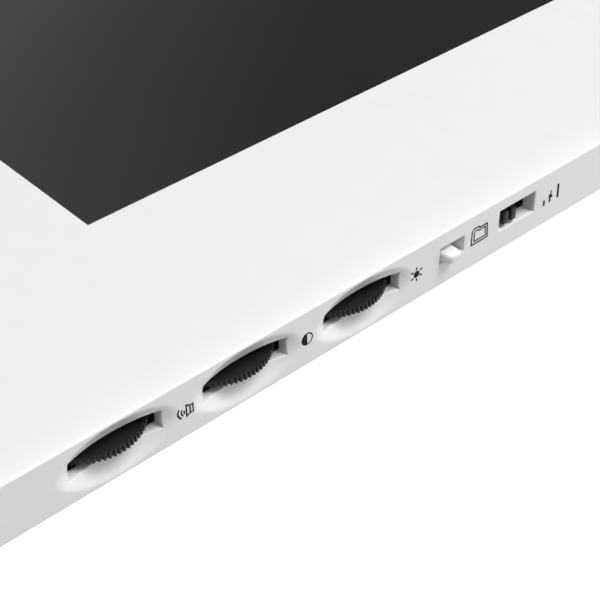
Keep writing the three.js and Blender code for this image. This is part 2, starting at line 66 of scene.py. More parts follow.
# ------------------------------------------------------------------ materials
def material(name, color, rough, metal=0.0, vary=0.05, scale=900.0, fine=4200.0, bump=0.05, depth=0.00002,
             rough_vary=0.06, spec=0.5, coat=0.0, coat_rough=0.1, transmission=0.0, ior=1.5, stretch=(1, 1, 1), subsurface=0.0):
    m = bpy.data.materials.new(name)
    m.use_nodes = True
    nt = m.node_tree
    nt.nodes.clear()
    out = nt.nodes.new("ShaderNodeOutputMaterial")
    bs = nt.nodes.new("ShaderNodeBsdfPrincipled")
    nt.links.new(bs.outputs["BSDF"], out.inputs["Surface"])
    tc = nt.nodes.new("ShaderNodeTexCoord")
    mp = nt.nodes.new("ShaderNodeMapping")
    mp.inputs["Scale"].default_value = stretch
    nt.links.new(tc.outputs["Object"], mp.inputs["Vector"])
    broad = nt.nodes.new("ShaderNodeTexNoise")
    broad.inputs["Scale"].default_value = scale
    broad.inputs["Detail"].default_value = 4.0
    nt.links.new(mp.outputs["Vector"], broad.inputs["Vector"])
    grain = nt.nodes.new("ShaderNodeTexNoise")
    grain.inputs["Scale"].default_value = fine
    grain.inputs["Detail"].default_value = 2.0
    nt.links.new(mp.outputs["Vector"], grain.inputs["Vector"])
    mix = nt.nodes.new("ShaderNodeMix")
    mix.data_type = "RGBA"
    c = np.array(color, float)
    mix.inputs[6].default_value = (*np.clip(c * (1 - vary), 0, 1), 1)
    mix.inputs[7].default_value = (*np.clip(c * (1 + vary), 0, 1), 1)
    nt.links.new(broad.outputs["Fac"], mix.inputs[0])
    nt.links.new(mix.outputs[2], bs.inputs["Base Color"])
    rr = nt.nodes.new("ShaderNodeMapRange")
    rr.inputs["From Min"].default_value = 0.3
    rr.inputs["From Max"].default_value = 0.7
    rr.inputs["To Min"].default_value = max(0.02, rough - rough_vary)
    rr.inputs["To Max"].default_value = min(1.0, rough + rough_vary)
    nt.links.new(broad.outputs["Fac"], rr.inputs["Value"])
    nt.links.new(rr.outputs["Result"], bs.inputs["Roughness"])
    bp = nt.nodes.new("ShaderNodeBump")
    bp.inputs["Strength"].default_value = bump
    bp.inputs["Distance"].default_value = depth
    nt.links.new(grain.outputs["Fac"], bp.inputs["Height"])
    nt.links.new(bp.outputs["Normal"], bs.inputs["Normal"])
    bs.inputs["Metallic"].default_value = metal
    bs.inputs["Specular IOR Level"].default_value = spec
    bs.inputs["IOR"].default_value = ior
    bs.inputs["Coat Weight"].default_value = coat
    bs.inputs["Coat Roughness"].default_value = coat_rough
    bs.inputs["Transmission Weight"].default_value = transmission
    bs.inputs["Subsurface Weight"].default_value = subsurface
    return m


MAT = {
    "white_shell": material("white_shell", (0.84, 0.84, 0.84), 0.42, vary=0.012, scale=260, fine=5200, bump=0.10),
    "rear_shell": material("rear_shell", (0.80, 0.80, 0.79), 0.52, vary=0.02, scale=260, fine=3600, bump=0.22, depth=0.00003),
    "dark_window": material("dark_window", (0.013, 0.0135, 0.0145), 0.10, vary=0.08, scale=60, fine=2600, bump=0.01, rough_vary=0.015),
    "black_plastic": material("black_plastic", (0.016, 0.016, 0.0165), 0.45, vary=0.18, scale=1500, fine=7000, bump=0.22, spec=0.17),
    "black_resin": material("black_resin", (0.014, 0.014, 0.015), 0.5, vary=0.15, scale=1200, fine=6000, bump=0.25, spec=0.17),
    "foam": material("foam", (0.02, 0.02, 0.021), 0.95, vary=0.3, scale=2600, fine=5200, bump=0.7, depth=0.0001),
    "display": material("display", (0.012, 0.013, 0.017), 0.2, vary=0.08, scale=200, fine=2400, bump=0.03),
    "steel_sheet": material("steel_sheet", (0.56, 0.57, 0.58), 0.36, metal=1.0, vary=0.06, scale=420, fine=2600, bump=0.12, stretch=(1, 9, 9)),
    "circuit_board": material("circuit_board", (0.018, 0.105, 0.045), 0.4, vary=0.22, scale=700, fine=3200, bump=0.15, coat=0.3),
    "black_board": material("black_board", (0.015, 0.016, 0.0165), 0.45, vary=0.2, scale=700, fine=3200, bump=0.15),
    "silicone": material("silicone", (0.55, 0.56, 0.55), 0.75, vary=0.05, scale=500, fine=2600, bump=0.2),
    "chip_resin": material("chip_resin", (0.022, 0.022, 0.023), 0.55, vary=0.2, scale=1500, fine=6500, bump=0.35),
    "aluminium_can": material("aluminium_can", (0.62, 0.63, 0.64), 0.3, metal=1.0, vary=0.05, scale=900, fine=3600, bump=0.12, stretch=(1, 1, 6)),
    "paper_cone": material("paper_cone", (0.032, 0.030, 0.028), 0.9, vary=0.4, scale=1800, fine=4200, bump=0.6, depth=0.00006),
    "magnet": material("magnet", (0.045, 0.045, 0.048), 0.6, metal=0.3, vary=0.25, scale=1400, fine=3600, bump=0.4),
    "terminal": material("terminal", (0.03, 0.19, 0.075), 0.45, vary=0.1, scale=900, fine=3600, bump=0.15),
    "ribbon": material("ribbon", (0.46, 0.24, 0.06), 0.4, vary=0.1, scale=500, fine=2600, bump=0.15, coat=0.4),
    "light_pipe": material("light_pipe", (0.86, 0.9, 0.92), 0.12, vary=0.02, scale=400, fine=2600, bump=0.03, rough_vary=0.03, transmission=0.6),
    "led": material("led", (0.80, 0.77, 0.58), 0.3, vary=0.05, scale=900, fine=3600, bump=0.1),
    "screw_steel": material("screw_steel", (0.50, 0.51, 0.52), 0.34, metal=1.0, vary=0.1, scale=2200, fine=5200, bump=0.2),
    "print_ink": material("print_ink", (0.006, 0.006, 0.006), 0.7, vary=0.2, scale=3000, fine=8000, bump=0.2, spec=0.08),
    "contact_metal": material("contact_metal", (0.68, 0.66, 0.6), 0.3, metal=1.0, vary=0.06, scale=2000, fine=5200, bump=0.1),
    "ceramic": material("ceramic", (0.42, 0.34, 0.25), 0.5, vary=0.12, scale=2000, fine=5200, bump=0.15),
    "floor": material("floor", (0.93, 0.93, 0.93), 0.75, vary=0.004, scale=12, fine=300, bump=0.02, spec=0.2),
}


# ------------------------------------------------------------------ mesh code
class Shell:
    """Closed surfaces put together from loops of points."""

    def __init__(self):
        self.v, self.f = [], []

    def ring(self, pts):
        i = len(self.v)
        self.v.extend((float(p[0]), float(p[1]), float(p[2])) for p in pts)
        return list(range(i, i + len(pts)))

    def bridge(self, a, b, closed=True):
        n = len(a)
        for k in range(n if closed else n - 1):
            j = (k + 1) % n
            self.f.append((a[k], a[j], b[j], b[k]))

    def chain(self, loops, closed=True):
        rings = [self.ring(p) for p in loops]
        for a, b in zip(rings, rings[1:]):
            self.bridge(a, b, closed)
        return rings

    def fan(self, a):
        """Closes a small flat loop with one polygon."""
        self.f.append(tuple(a))

    def fill(self, outer, holes=(), axes=(0, 1)):
        """Flat region inside one loop and outside the others."""
        loops = [outer, *holes]
        ids = [i for lp in loops for i in lp]
        pts = [Vector((self.v[i][axes[0]], self.v[i][axes[1]])) for i in ids]
        edges, k = [], 0
        for lp in loops:
            n = len(lp)
            edges += [(k + j, k + (j + 1) % n) for j in range(n)]
            k += n
        co, _, tris, orig, _, _ = delaunay_2d_cdt(pts, edges, [], 0, 1e-6)
        back = [ids[o[0]] if o else None for o in orig]
        c2 = np.array([[p.x, p.y] for p in co])
        t = np.array([list(x) for x in tris])
        mid = c2[t].mean(axis=1)
        keep = inside(mid, np.array([[p.x, p.y] for p in pts[:len(outer)]]))
        k = len(outer)
        for lp in holes:
            keep &= ~inside(mid, np.array([[p.x, p.y] for p in pts[k:k + len(lp)]]))
            k += len(lp)
        for tri in t[keep]:
            self.f.append(tuple(back[i] for i in tri))


def inside(p, poly):
    x, y = p[:, 0][:, None], p[:, 1][:, None]
    x0, y0 = poly[:, 0][None], poly[:, 1][None]
    x1, y1 = np.roll(poly[:, 0], -1)[None], np.roll(poly[:, 1], -1)[None]
    cross = (y0 > y) != (y1 > y)
    with np.errstate(divide="ignore", invalid="ignore"):
        at = x0 + (y - y0) * (x1 - x0) / (y1 - y0)
    return (np.where(cross & (x < at), 1, 0).sum(axis=1) % 2) == 1


def build(name, shell, mat, body, replaces=(), sharp=32.0, weighted=False):
    verts, faces = (shell.v, shell.f) if isinstance(shell, Shell) else shell
    me = bpy.data.meshes.new(name)
    me.from_pydata([(x * S, y * S, z * S) for x, y, z in verts], [], faces)
    bm = bmesh.new()
    bm.from_mesh(me)
    bmesh.ops.remove_doubles(bm, verts=bm.verts, dist=1e-7)
    return finish_mesh(name, bm, me, mat, body, replaces, sharp, weighted)


def finish_mesh(name, bm, me, mat, body, replaces, sharp, weighted):
    bmesh.ops.recalc_face_normals(bm, faces=bm.faces)
    lim = math.radians(sharp)
    for f in bm.faces:
        f.smooth = True
    for e in bm.edges:
        e.smooth = not (e.is_manifold and e.calc_face_angle(0.0) > lim)
    open_edges = sum(1 for e in bm.edges if not e.is_manifold)
    if open_edges:
        print("open edges", name, open_edges)
    bm.to_mesh(me)
    bm.free()
    ob = bpy.data.objects.new(name, me)
    bpy.context.scene.collection.objects.link(ob)
    me.materials.append(MAT[mat])
    if weighted:
        w = ob.modifiers.new("normals", "WEIGHTED_NORMAL")
        w.keep_sharp = True
    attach(ob, body)
    if replaces:
        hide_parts(*replaces)
    return ob


def refined(node, mat, body="monitor", width=0.25, segs=2, angle=35.0, name=None, sharp=40.0):
    """The CAD solid again, with its flat faces merged and its edges rounded."""
    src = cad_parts[node]
    me = bpy.data.meshes.new(name or node + "_detail")
    bm = bmesh.new()
    bm.from_mesh(src.data)
    bmesh.ops.remove_doubles(bm, verts=bm.verts, dist=2e-6)
    bmesh.ops.dissolve_limit(bm, angle_limit=math.radians(0.5), verts=bm.verts, edges=bm.edges)
    edges = [e for e in bm.edges if e.is_manifold and e.calc_face_angle(0.0) > math.radians(angle)]
    bmesh.ops.bevel(bm, geom=edges, offset=width * S, offset_type="OFFSET", segments=segs, profile=0.5, affect="EDGES", clamp_overlap=True)
    bmesh.ops.triangulate(bm, faces=[f for f in bm.faces if len(f.verts) > 4])
    return finish_mesh(me.name, bm, me, mat, body, (node,), sharp, True)


def circle(cx, cy, r, z, n=48, start=0.0):
    a = start + np.arange(n) * 2 * np.pi / n
    return np.c_[cx + r * np.cos(a), cy + r * np.sin(a), np.full(n, z)]


def rrect(cx, cy, w, h, r, z, n=8, off=0.0):
    """Rounded rectangle, grown outwards by off."""
    w, h, r = w + 2 * off, h + 2 * off, max(r + off, 1e-4)
    pts = []
    for k, (sx, sy) in enumerate([(1, -1), (1, 1), (-1, 1), (-1, -1)]):
        for j in range(n + 1):
            a = -math.pi / 2 + k * math.pi / 2 + j * math.pi / 2 / n
            pts.append((cx + sx * (w / 2 - r) + r * math.cos(a), cy + sy * (h / 2 - r) + r * math.sin(a), z))
    return pts


def swap_yz(pts):
    return [(p[0], p[2], p[1]) for p in pts]


def turned(name, x, y, profile, mat, body="monitor", n=48, replaces=(), sharp=32.0):
    """Body of revolution about a vertical line; profile runs from axis to axis or closes on itself."""
    sh = Shell()
    loops = [None if r < 1e-9 else circle(x, y, r, z, n) for r, z in profile]
    rings = [None if lp is None else sh.ring(lp) for lp in loops]
    ends = []
    for k in range(len(profile) - 1):
        if rings[k] is None or rings[k + 1] is None:
            continue
        sh.bridge(rings[k], rings[k + 1])
    if loops[0] is None:
        ends = [rings[1], rings[-2]]
    for e in ends:
        sh.fan(e)
    return build(name, sh, mat, body, replaces, sharp)


# ------------------------------------------------------------------ front housing
OPENINGS = [(SLOT_X + i * PITCH + SLOT_OFF, SLOT_X + i * PITCH + SLOT_OFF + SLOT_W, SLOT_Z0, SLOT_Z1) for i in range(3)]
OPENINGS += [(BUTTON["x0"], BUTTON["x1"], BUTTON["z0"], BUTTON["z1"]), (SWITCH["x0"], SWITCH["x1"], SWITCH["z0"], SWITCH["z1"])]
SCOOPS = [SLOT_X + i * PITCH + SCOOP["dx"] for i in range(3)]
FILLET = 0.16
SOFT = 0.18  # softness of the scoops' rims
STEPS = (0.0, 0.02, 0.05, 0.095, 0.16)


def dent(x, z):
    """How far the control side lies behind its plane at (x, z)."""
    d = 0.0
    for cx in SCOOPS:
        w = 1.0 - ((x - cx) / SCOOP["a"]) ** 2 - ((z - SCOOP["z"]) / SCOOP["c"]) ** 2
        if w <= -SOFT:
            continue
        t2 = min(1.0, w) if w > SOFT else (w + SOFT) ** 2 / (4 * SOFT)
        h = SCOOP["radius"] - SCOOP["depth"]
        k = 1.0 - (h / SCOOP["radius"]) ** 2
        d += SCOOP["radius"] * math.sqrt(1.0 - k * (1.0 - t2)) - h
    for x0, x1, z0, z1 in OPENINGS:
        q = math.hypot(max(x0 - x, 0.0, x - x1), max(z0 - z, 0.0, z - z1))
        if q < FILLET:
            d += FILLET - math.sqrt(max(0.0, FILLET ** 2 - (FILLET - q) ** 2))
    return d


def lines(required, base):
    req = sorted(set(round(v, 4) for v in required))
    out = list(req)
    for b in base:
        if min(abs(b - r) for r in req) > 0.035:
            out.append(b)
    return sorted(set(round(v, 4) for v in out))


def make_front():
    sh = Shell()
    req_x, req_z = [-119.0, 119.0], [RIM_Z + 0.3, EDGE_Z]
    for x0, x1, z0, z1 in OPENINGS:
        req_x += [x0 - s for s in STEPS] + [x1 + s for s in STEPS]
        req_z += [z0 - s for s in STEPS] + [z1 + s for s in STEPS]
    base_x = [-114.0, -109.0, -106.0]
    for cx in SCOOPS:
        base_x += list(np.arange(cx - 9.5, cx + 9.51, 0.2))
    base_x += list(np.arange(-44.0, -17.0, 0.5)) + list(np.arange(-15, 119, 8.0))
    xs = lines(req_x, base_x)
    zs = lines(req_z, list(np.arange(14.22, 22.99, 0.12)))
    zs = [z for z in zs if RIM_Z + 0.3 <= z <= EDGE_Z]

    # stations round the outline: corner centre or edge point, outward direction, inner point
    st = []
    for x in xs:
        st.append((x, -76.5, 0.0, -1.0, x, CAV_Y0))
    ncor = 14

    def corner(cx, cy, icx, icy, a0):
        for j in range(1, ncor):
            a = a0 + j * math.pi / 2 / ncor
            c, s = math.cos(a), math.sin(a)
            st.append((cx, cy, c, s, icx + CAV_R * c, icy + CAV_R * s))
    icx, icy0, icy1 = CAV_X - CAV_R, CAV_Y0 + CAV_R, CAV_Y1 - CAV_R
    corner(119, -76.5, icx, icy0, -math.pi / 2)
    for t in np.linspace(0, 1, 14):
        st.append((119, -76.5 + 153 * t, 1.0, 0.0, CAV_X, icy0 + (icy1 - icy0) * t))
    corner(119, 76.5, icx, icy1, 0)
    for x in np.linspace(119, -119, 22):
        st.append((x, 76.5, 0.0, 1.0, x, CAV_Y1))
    corner(-119, 76.5, -icx, icy1, math.pi / 2)
    for t in np.linspace(1, 0, 14):
        st.append((-119, -76.5 + 153 * t, -1.0, 0.0, -CAV_X, icy0 + (icy1 - icy0) * t))
    corner(-119, -76.5, -icx, icy0, math.pi)
    nx = len(xs)

    def outer(d, z, dented=False):
        pts = []
        for k, (bx, by, ux, uy, _, _) in enumerate(st):
            y = by + uy * (CR - d)
            if dented and k < nx:
                y += dent(bx, z)
            pts.append((bx + ux * (CR - d), y, z))
        return pts

    rim_in = sh.ring([(s[4], s[5], RIM_Z) for s in st])
    rows = [(0.3, RIM_Z)] + [(0.3 - 0.3 * math.sin(a), RIM_Z + 0.3 - 0.3 * math.cos(a)) for a in np.radians([30, 60])]
    rings = [rim_in] + [sh.ring(outer(d, z)) for d, z in rows]
    for a, b in zip(rings, rings[1:]):
        sh.bridge(a, b)
    side = [sh.ring(outer(0.0, z, True)) for z in zs]
    sh.bridge(rings[-1], side[0])
    n = len(st)

    def hole_of(xm, zm):
        for k, (x0, x1, z0, z1) in enumerate(OPENINGS):
            if x0 < xm < x1 and z0 < zm < z1:
                return k
        return None
    for r in range(len(zs) - 1):
        zm = (zs[r] + zs[r + 1]) / 2
        for k in range(n):
            j = (k + 1) % n
            if k < nx - 1 and hole_of((xs[k] + xs[k + 1]) / 2, zm) is not None:
                continue
            sh.f.append((side[r][k], side[r][j], side[r + 1][j], side[r + 1][k]))
    # openings through the control side
    tunnel_ends = []
    for x0, x1, z0, z1 in OPENINGS:
        ka, kb = xs.index(round(x0, 4)), xs.index(round(x1, 4))
        ra, rb = zs.index(round(z0, 4)), zs.index(round(z1, 4))
        loop = [side[ra][k] for k in range(ka, kb)] + [side[r][kb] for r in range(ra, rb)]
        loop += [side[rb][k] for k in range(kb, ka, -1)] + [side[r][ka] for r in range(rb, ra, -1)]
        mid = sh.ring([(sh.v[i][0], sh.v[i][1] * 0.8 + CAV_Y0 * 0.2, sh.v[i][2]) for i in loop])
        sh.bridge(loop, mid)
        if x1 - x0 > 6:
            g, top = REBATE["grow"], REBATE["top"]
            edge = sh.ring([(sh.v[i][0], REBATE["y"], sh.v[i][2]) for i in loop])
            wide = [(x0 - g + (sh.v[i][0] - x0) * (x1 - x0 + 2 * g) / (x1 - x0), z0 - g + (sh.v[i][2] - z0) * (top - z0 + g) / (z1 - z0)) for i in loop]
            step = sh.ring([(u, REBATE["y"], v) for u, v in wide])
            end = sh.ring([(u, CAV_Y0, v) for u, v in wide])
            sh.bridge(mid, edge)
            sh.bridge(edge, step)
            sh.bridge(step, end)
        else:
            end = sh.ring([(sh.v[i][0], CAV_Y0, sh.v[i][2]) for i in loop])
            sh.bridge(mid, end)
        tunnel_ends.append(end)
    # rounded border of the front
    crown = []
    for a in np.radians([4, 8, 12, 17, 22, 28, 34, 41, 48, 56, 64, 72, 81, 90]):
        crown.append(sh.ring(outer(ROLL * (1 - math.cos(a)), EDGE_Z + (FACE_Z - EDGE_Z) * math.sin(a))))
    sh.bridge(side[-1], crown[0])
    for a, b in zip(crown, crown[1:]):
        sh.bridge(a, b)
    flat = sh.ring(outer(ROLL + 0.5, FACE_Z))
    sh.bridge(crown[-1], flat)

    # inner walls: the control side is flat with the five openings, the others are plain
    top_in = sh.ring([(s[4], s[5], INNER_Z) for s in st])
    for k in range(n):
        if k < nx - 1:
            continue
        j = (k + 1) % n
        sh.f.append((rim_in[k], rim_in[j], top_in[j], top_in[k]))
    sh.fill(rim_in[:nx] + top_in[:nx][::-1], tunnel_ends, axes=(0, 2))

    front_holes, ceiling_holes = [], []

    def through(pts_of, fillet, low=INNER_Z):
        """An opening from the front face to the inside, its upper edge rounded. pts_of(off, z) gives a loop."""
        loops = [pts_of(fillet + 0.35, FACE_Z), pts_of(fillet, FACE_Z)]
        for a in np.radians([30, 60, 90]):
            loops.append(pts_of(fillet * (1 - math.sin(a)), FACE_Z - fillet * (1 - math.cos(a))))
        loops.append(pts_of(0.0, low))
        r = sh.chain(loops)
        front_holes.append(r[0])
        return r[-1]

    for y in KEY["ys"]:
        g = KEY["gap"]
        ceiling_holes.append(through(lambda off, z, y=y: rrect(KEY["x"], y, KEY["w"] + 2 * g, KEY["h"] + 2 * g, KEY["r"] + g, z, 10, off), 0.25))
    ceiling_holes.append(through(lambda off, z: circle(KEY["x"], LED_Y, 1.75 + off, z, 36), 0.2))
    mic = through(lambda off, z: circle(KEY["x"], MIC_Y, 0.8 + off, z, 28), 0.15)
    slots = []
    for i in range(-3, 4):
        y = SPK["y"] + i * 4
        ln = 2 * math.sqrt(15 ** 2 - (i * 4) ** 2)
        slots.append(through(lambda off, z, y=y, ln=ln: rrect(SPK["x"], y, ln, 1.6, 0.79, z, 8, off), 0.2))

    # window pocket, its ledge and the rim behind the ledge
    def rect(off, z):
        x0, x1, y0, y1 = LENS["x0"] - off, LENS["x1"] + off, LENS["y0"] - off, LENS["y1"] + off
        return [(x0, y0, z), (x1, y0, z), (x1, y1, z), (x0, y1, z)]
    g = 0.05
    r = sh.chain([rect(g + 0.34, FACE_Z), rect(g + 0.04, FACE_Z), rect(g, FACE_Z - 0.04), rect(g, 21.5), rect(-LEDGE, 21.5), rect(-LEDGE, 20.2), rect(3.0, 20.2), rect(3.0, INNER_Z)])
    front_holes.append(r[0])
    ceiling_holes.append(r[-1])
    sh.fill(flat, front_holes)

    # bosses for screws, collars of the loudspeaker and microphone
    def boss(x, y, rad, low, depth, seg=28):
        q = sh.chain([circle(x, y, rad, INNER_Z, seg), circle(x, y, rad, low + 0.25, seg), circle(x, y, rad - 0.25, low, seg),
                      circle(x, y, 1.6, low, seg), circle(x, y, 1.35, low + 0.25, seg), circle(x, y, 1.35, depth, seg)])
        sh.fan(q[-1])
        ceiling_holes.append(q[0])

    for x, y in HOUSING_SCREWS:
        boss(x, y, 3.2, 15.7, 21.0)
    for x, y in LCD_SCREWS + CTRL_SCREWS + KEY_SCREWS:
        boss(x, y, 2.8, 17.4, 21.0)

    def collar(x, y, ro, ri, low, holes, seg):
        q = sh.chain([circle(x, y, ro, INNER_Z, seg), circle(x, y, ro, low + 0.2, seg), circle(x, y, ro - 0.2, low, seg), circle(x, y, ri + 0.2, low, seg),
                      circle(x, y, ri, low + 0.2, seg), circle(x, y, ri, INNER_Z, seg)])
        ceiling_holes.append(q[0])
        sh.fill(q[-1], holes)
    collar(SPK["x"], SPK["y"], SPK["r"] + 1.9, SPK["r"] + 0.4, 18.4, slots, 72)
    collar(KEY["x"], MIC_Y, 6.1, 4.9, 17.4, [mic], 40)
    sh.fill(top_in, ceiling_holes)
    return build("front_housing_shell", sh, "white_shell", "monitor", ("front_housing",), sharp=38)


make_front()


# ------------------------------------------------------------------ window
def make_lens():
    sh = Shell()
    x0, x1, y0, y1 = LENS["x0"], LENS["x1"], LENS["y0"], LENS["y1"]
    z1, z0, c = FACE_Z, FACE_Z - LENS["t"], 0.03

    def r(o, z):
        return [(x0 + o, y0 + o, z), (x1 - o, y0 + o, z), (x1 - o, y1 - o, z), (x0 + o, y1 - o, z)]
    q = sh.chain([r(c + 0.2, z1), r(c, z1), r(0, z1 - c), r(0, z0 + c), r(c, z0), r(c + 0.2, z0)])
    sh.fan(q[0])
    sh.fan(q[-1])
    return build("screen_window", sh, "dark_window", "monitor", ("screen_lens",), sharp=20)


make_lens()


# ------------------------------------------------------------------ thumbwheels
def make_wheel(name, body, i):
    x, y = SLOT_X + i * PITCH + WHEEL["dx"], WHEEL["y"]
    teeth, r, z0, z1 = WHEEL["teeth"], WHEEL["r"], WHEEL["z0"], WHEEL["z1"]
    root = 0.28
    frac = [(0.00, 1), (0.40, 1), (0.50, 0), (0.90, 0)]
    sh = Shell()

    def outline(cut, z, k=1.0):
        pts = []
        for t in range(teeth):
            for f, low in frac:
                a = 2 * math.pi * (t + f + 0.05) / teeth
                rad = r - cut - (root * k if low else 0.0)
                pts.append((x + rad * math.cos(a), y + rad * math.sin(a), z))
        return pts

    def ring(rad, z):
        return [(x + rad * math.cos(2 * math.pi * (t + f + 0.05) / teeth), y + rad * math.sin(2 * math.pi * (t + f + 0.05) / teeth), z)
                for t in range(teeth) for f, _ in frac]
    q = sh.chain([ring(7.2, z1), ring(7.45, z1), outline(0.13, z1), outline(0.04, z1 - 0.05), outline(0, z1 - 0.13),
                  outline(0, z0 + 0.13), outline(0.04, z0 + 0.05), outline(0.13, z0), ring(7.45, z0), ring(7.2, z0)])
    for end, z, s in ((q[0], z1, -1), (q[-1], z0, 1)):
        b = [circle(x, y, WHEEL["bore"] + 0.2, z, 48), circle(x, y, WHEEL["bore"], z + s * 0.2, 48)]
        bore = sh.chain(b)
        sh.fill(end, [bore[0]])
        if s < 0:
            first = bore[1]
        else:
            sh.bridge(first, bore[1])
    return build(f"{name}_wheel_detail", sh, "black_plastic", body, (f"{name}_wheel",), sharp=24)


for i, nm in enumerate(("volume", "contrast", "brightness")):
    make_wheel(nm, nm + "_knob", i)


# ------------------------------------------------------------------ side button and slider
def yrect(x0, x1, z0, z1, r, y, n=6, off=0.0):
    return [(p[0], y, p[1]) for p in rrect((x0 + x1) / 2, (z0 + z1) / 2, x1 - x0, z1 - z0, r, 0, n, off)]


def make_button():
    b, back = BUTTON, CAV_Y0 + 0.3
    sh = Shell()
    fy = SIDE_Y - b["proud"]
    p = (b["px0"], b["px1"], b["pz0"], b["pz1"])
    # domed front, rounder across its left side than its right
    loops = []
    for a in np.radians([0, 7, 14, 22, 30, 39, 48, 57, 66, 75, 83, 90]):
        s = 1 - math.sin(a)
        x0, x1, z0, z1 = p[0] + 1.10 * s, p[1] - 0.35 * s, p[2] + 0.50 * s, p[3] - 0.65 * s
        loops.append(yrect(x0, x1, z0, z1, min(0.5, (z1 - z0) / 2 - 0.02), fy + 1.25 * (1 - math.cos(a))))
    loops.append(yrect(*p, 0.5, back))
    cx0, cx1 = b["x0"] - 1.4, b["x1"] + 1.4
    loops += [yrect(cx0, cx1, 17.5, 20.8, 0.4, back, off=-0.08), yrect(cx0, cx1, 17.5, 20.8, 0.4, back + 0.08), yrect(cx0, cx1, 17.5, 20.8, 0.4, back + 0.92), yrect(cx0, cx1, 17.5, 20.8, 0.4, back + 1, off=-0.08)]
    s0, s1 = b["x0"] + 1.2, b["x1"] - 1.2
    loops += [yrect(s0, s1, 18.4, 20.2, 0.2, back + 1), yrect(s0, s1, 18.4, 20.2, 0.2, back + 2.5), yrect(s0, s1, 18.4, 20.2, 0.2, back + 2.6, off=-0.1)]
    q = sh.chain(loops)
    sh.fan(q[0])
    sh.fan(q[-1])
    return build("side_button_plunger", sh, "white_shell", "menu_button", ("side_button",), sharp=40)


make_button()


def make_slider():
    s = SWITCH
    front = CAV_Y0 + 0.3
    k0, k1 = s["x0"] + s["off"], s["x0"] + s["off"] + s["knob"]
    mid = (k0 + k1) / 2
    zlo, zhi = 18.1, 20.2
    fy, gy, by = SIDE_Y + 0.1, SIDE_Y + 1.2, front - 0.3

    def arc(cx, cy, r, a0, a1, n=6):
        return [(cx + r * math.cos(a), cy + r * math.sin(a)) for a in np.radians(np.linspace(a0, a1, n))]
    r = 0.26
    out = [(k0, by)] + arc(k0 + r, fy + r, r, 180, 270) + arc(mid - 0.27 - r, fy + r, r, 270, 360)
    out += [(mid - 0.27, gy - 0.15)] + arc(mid - 0.27 + 0.15, gy - 0.15, 0.15, 180, 90, 4)[1:] + arc(mid + 0.27 - 0.15, gy - 0.15, 0.15, 90, 0, 4)
    out += arc(mid + 0.27 + r, fy + r, r, 180, 270) + arc(k1 - r, fy + r, r, 270, 360) + [(k1, by)]
    out = np.array(out)
    # outward direction at each point of the outline, for rounded ends
    nx = np.roll(out, -1, 0) - np.roll(out, 1, 0)
    nrm = np.c_[nx[:, 1], -nx[:, 0]]
    nrm /= np.linalg.norm(nrm, axis=1)[:, None]
    sh = Shell()
    e = 0.12
    lo = [[(p[0], p[1], zlo + e * (1 - math.cos(a))) for p in out - nrm * e * (1 - math.sin(a))] for a in np.radians([0, 30, 60, 90])]
    hi = [[(p[0], p[1], zhi - e * (1 - math.cos(a))) for p in out - nrm * e * (1 - math.sin(a))] for a in np.radians([90, 60, 30, 0])]
    q = sh.chain(lo + hi)
    sh.fill(q[0])
    sh.fill(q[-1])
    # drive pin behind the knob
    pin = Shell()
    w = [yrect(mid - 1, mid + 1, 18.7, 20.1, 0.15, y, 4) for y in (front - 1.0, front + 1.4)]
    qq = pin.chain(w)
    pin.fan(qq[0])
    pin.fan(qq[-1])
    ob = build("ring_level_slider_knob", sh, "black_resin", "ring_switch", ("ring_level_slider",), sharp=40)
    p = build("tmp_pin", pin, "black_resin", "ring_switch")
    unite(ob, p)
    return ob


def unite(ob, other, op="UNION"):
    m = ob.modifiers.new("b", "BOOLEAN")
    m.operation, m.object, m.solver = op, other, "EXACT"
    bpy.context.view_layer.update()
    dg = bpy.context.evaluated_depsgraph_get()
    me = bpy.data.meshes.new_from_object(ob.evaluated_get(dg))
    ob.modifiers.remove(m)
    old = ob.data
    ob.data = me
    me.name = ob.name
    bpy.data.meshes.remove(old)
    bpy.data.objects.remove(other, do_unlink=True)
    bm = bmesh.new()
    bm.from_mesh(me)
    for f in bm.faces:
        f.smooth = True
    for e in bm.edges:
        e.smooth = not (e.is_manifold and e.calc_face_angle(0.0) > math.radians(38))
    bm.to_mesh(me)
    bm.free()


make_slider()


# ------------------------------------------------------------------ front keys
def make_key(name, body, y):
    sh = Shell()
    x, w, h, r = KEY["x"], KEY["w"], KEY["h"], KEY["r"]
    top = KEY["top"]
    rr = 0.55
    loops = [rrect(x, y, w, h, r, 18.8, 10, -0.1), rrect(x, y, w, h, r, 18.9, 10), rrect(x, y, w, h, r, 19.6, 10),
             rrect(x, y, w, h, r, 19.6, 10, 0.9), rrect(x, y, w, h, r, 19.7, 10, 1.0), rrect(x, y, w, h, r, 20.7, 10, 1.0), rrect(x, y, w, h, r, 20.8, 10, 0.9),
             rrect(x, y, w, h, r, 20.8, 10), rrect(x, y, w, h, r, top - 0.12 - rr, 10)]
    for a in np.radians([18, 36, 54, 72, 86]):
        loops.append(rrect(x, y, w, h, r, top - 0.12 - rr + rr * math.sin(a), 10, -rr * (1 - math.cos(a))))
    for o, dz in ((-1.2, 0.05), (-1.7, 0.03)):
        loops.append(rrect(x, y, w, h, r, top - dz, 10, o))
    q = sh.chain(loops)
    sh.fan([i for i in q[0]])
    sh.fan(q[-1])
    return build(name + "_cap", sh, "white_shell", body, (name,), sharp=40)


for nm, body, y in zip(("unlock_key", "talk_key", "monitor_key"), ("unlock_button", "talk_button", "monitor_button"), KEY["ys"]):
    make_key(nm, body, y)


